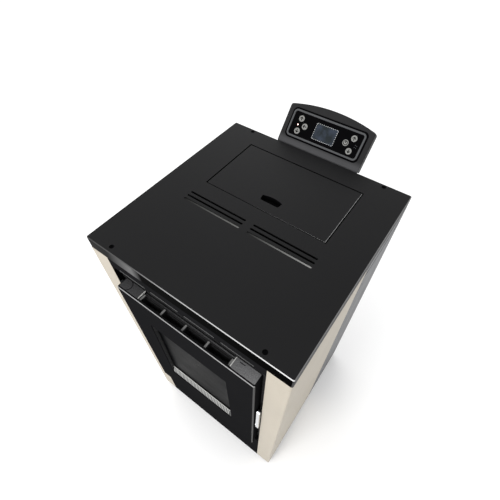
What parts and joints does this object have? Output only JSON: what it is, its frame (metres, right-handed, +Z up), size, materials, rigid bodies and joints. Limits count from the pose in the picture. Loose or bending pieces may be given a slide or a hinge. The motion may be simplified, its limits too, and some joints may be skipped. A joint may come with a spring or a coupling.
{
  "type": "pellet stove",
  "caption": "Free-standing pellet stove with a black steel top, painted front corners, lift-up hopper lid, glazed door, auger feed, fans, flue outlet and a leaning control panel.",
  "frame": {"origin": "on the floor, at the middle of the stove's bounding footprint", "axes": "+Z up, +Y from the door to the back, +X to the right as seen from the front"},
  "size_m": [0.5, 0.612, 1.0169],
  "materials": {
    "black_coat": "fine matt powder coat",
    "cream_coat": "satin powder coat",
    "zinc_sheet": "galvanised sheet",
    "black_iron": "heat-proof black paint",
    "bare_steel": "plain",
    "door_glass": "ceramic glass, smoked",
    "chrome": "polished",
    "dark_abs": "fine grained moulding",
    "grey_abs": "satin moulding",
    "gloss_black": "gloss",
    "lcd_glass": "display window",
    "key_print": "printed keys",
    "black_rubber": "matt",
    "glass_rope": "woven glass fibre",
    "refractory": "pressed vermiculite"
  },
  "bodies": {
    "cabinet": {"base_plate": "zinc_sheet", "chassis_left": "zinc_sheet", "chassis_right": "zinc_sheet", "side_panel_rear_left": "zinc_sheet", "side_panel_rear_right": "zinc_sheet", "back_panel": "zinc_sheet", "hopper": "zinc_sheet", "ash_pan": "zinc_sheet", "room_fan_housing": "zinc_sheet", "foot_front_left": "black_rubber", "foot_front_right": "black_rubber", "foot_rear_left": "black_rubber", "foot_rear_right": "black_rubber", "top_cover": "black_coat", "upper_front_panel": "black_coat", "lower_front_panel": "black_coat", "top_screw_front_left": "black_iron", "top_screw_front_right": "black_iron", "top_screw_rear_left": "black_iron", "top_screw_rear_right": "black_iron", "firebox": "black_iron", "fire_back": "black_iron", "burn_pot": "black_iron", "side_panel_front_left": "cream_coat", "side_panel_front_right": "cream_coat", "lid_hinge_pin": "bare_steel", "auger_tube": "bare_steel", "auger_gearmotor": "bare_steel", "drop_chute": "bare_steel", "door_hinge_pin_upper": "bare_steel", "door_hinge_pin_lower": "bare_steel", "exhaust_fan_housing": "bare_steel", "exhaust_fan_motor": "bare_steel", "flue_outlet": "bare_steel", "air_inlet": "bare_steel", "baffle": "refractory", "panel_housing": "dark_abs", "panel_bezel": "grey_abs", "control_box": "grey_abs", "panel_fascia": "gloss_black", "power_inlet": "gloss_black", "panel_screen": "lcd_glass"},
    "door": {"door_skin": "black_coat", "door_casting": "black_iron", "door_glass": "door_glass", "glass_retainer": "bare_steel", "window_sill": "bare_steel", "door_rope_seal": "glass_rope"},
    "handle": {"door_handle": "chrome"},
    "lid": {"hopper_lid": "black_coat"},
    "auger": {"auger_screw": "bare_steel"},
    "exhaust_wheel": {"exhaust_impeller": "bare_steel"},
    "room_fan": {"room_fan_rotor": "bare_steel"},
    "switch": {"power_switch": "gloss_black"},
    "button_1": {"panel_button_1": "key_print"},
    "button_2": {"panel_button_2": "key_print"},
    "button_3": {"panel_button_3": "key_print"},
    "button_4": {"panel_button_4": "key_print"},
    "button_5": {"panel_button_5": "key_print"},
    "button_6": {"panel_button_6": "key_print"}
  },
  "joints": [
    {"name": "door_hinge", "type": "hinge", "parent": "cabinet", "child": "door", "pos_m": [-0.1945, -0.28701, 0.538], "axis": [0, 0, -1], "range_deg": [0, 100]},
    {"name": "handle_turn", "type": "hinge", "parent": "door", "child": "handle", "pos_m": [0.191, -0.29351, 0.485], "axis": [1, 0, 0], "range_deg": [0, 70]},
    {"name": "lid_hinge", "type": "hinge", "parent": "cabinet", "child": "lid", "pos_m": [0, 0.15099, 0.918], "axis": [-1, 0, 0], "range_deg": [0, 80]},
    {"name": "auger_spin", "type": "hinge", "parent": "cabinet", "child": "auger", "pos_m": [0, 0.04999, 0.6], "axis": [0, 1, 0], "continuous": true},
    {"name": "exhaust_spin", "type": "hinge", "parent": "cabinet", "child": "exhaust_wheel", "pos_m": [0.08, 0.07999, 0.15], "axis": [1, 0, 0], "continuous": true},
    {"name": "room_fan_spin", "type": "hinge", "parent": "cabinet", "child": "room_fan", "pos_m": [0, -0.17201, 0.0913], "axis": [1, 0, 0], "continuous": true},
    {"name": "switch_rock", "type": "hinge", "parent": "cabinet", "child": "switch", "pos_m": [-0.19, 0.21479, 0.126], "axis": [1, 0, 0], "range_deg": [0, 14]},
    {"name": "button_1_press", "type": "slide", "parent": "cabinet", "child": "button_1", "axis": [0, 0.7793, -0.6266], "range_m": [0, 0.0008], "stiffness_N_per_m": 400, "springref_m": -0.0005},
    {"name": "button_2_press", "type": "slide", "parent": "cabinet", "child": "button_2", "axis": [0, 0.7793, -0.6266], "range_m": [0, 0.0008], "stiffness_N_per_m": 400, "springref_m": -0.0005},
    {"name": "button_3_press", "type": "slide", "parent": "cabinet", "child": "button_3", "axis": [0, 0.7793, -0.6266], "range_m": [0, 0.0008], "stiffness_N_per_m": 400, "springref_m": -0.0005},
    {"name": "button_4_press", "type": "slide", "parent": "cabinet", "child": "button_4", "axis": [0, 0.7793, -0.6266], "range_m": [0, 0.0008], "stiffness_N_per_m": 400, "springref_m": -0.0005},
    {"name": "button_5_press", "type": "slide", "parent": "cabinet", "child": "button_5", "axis": [0, 0.7793, -0.6266], "range_m": [0, 0.0008], "stiffness_N_per_m": 400, "springref_m": -0.0005},
    {"name": "button_6_press", "type": "slide", "parent": "cabinet", "child": "button_6", "axis": [0, 0.7793, -0.6266], "range_m": [0, 0.0008], "stiffness_N_per_m": 400, "springref_m": -0.0005}
  ]
}
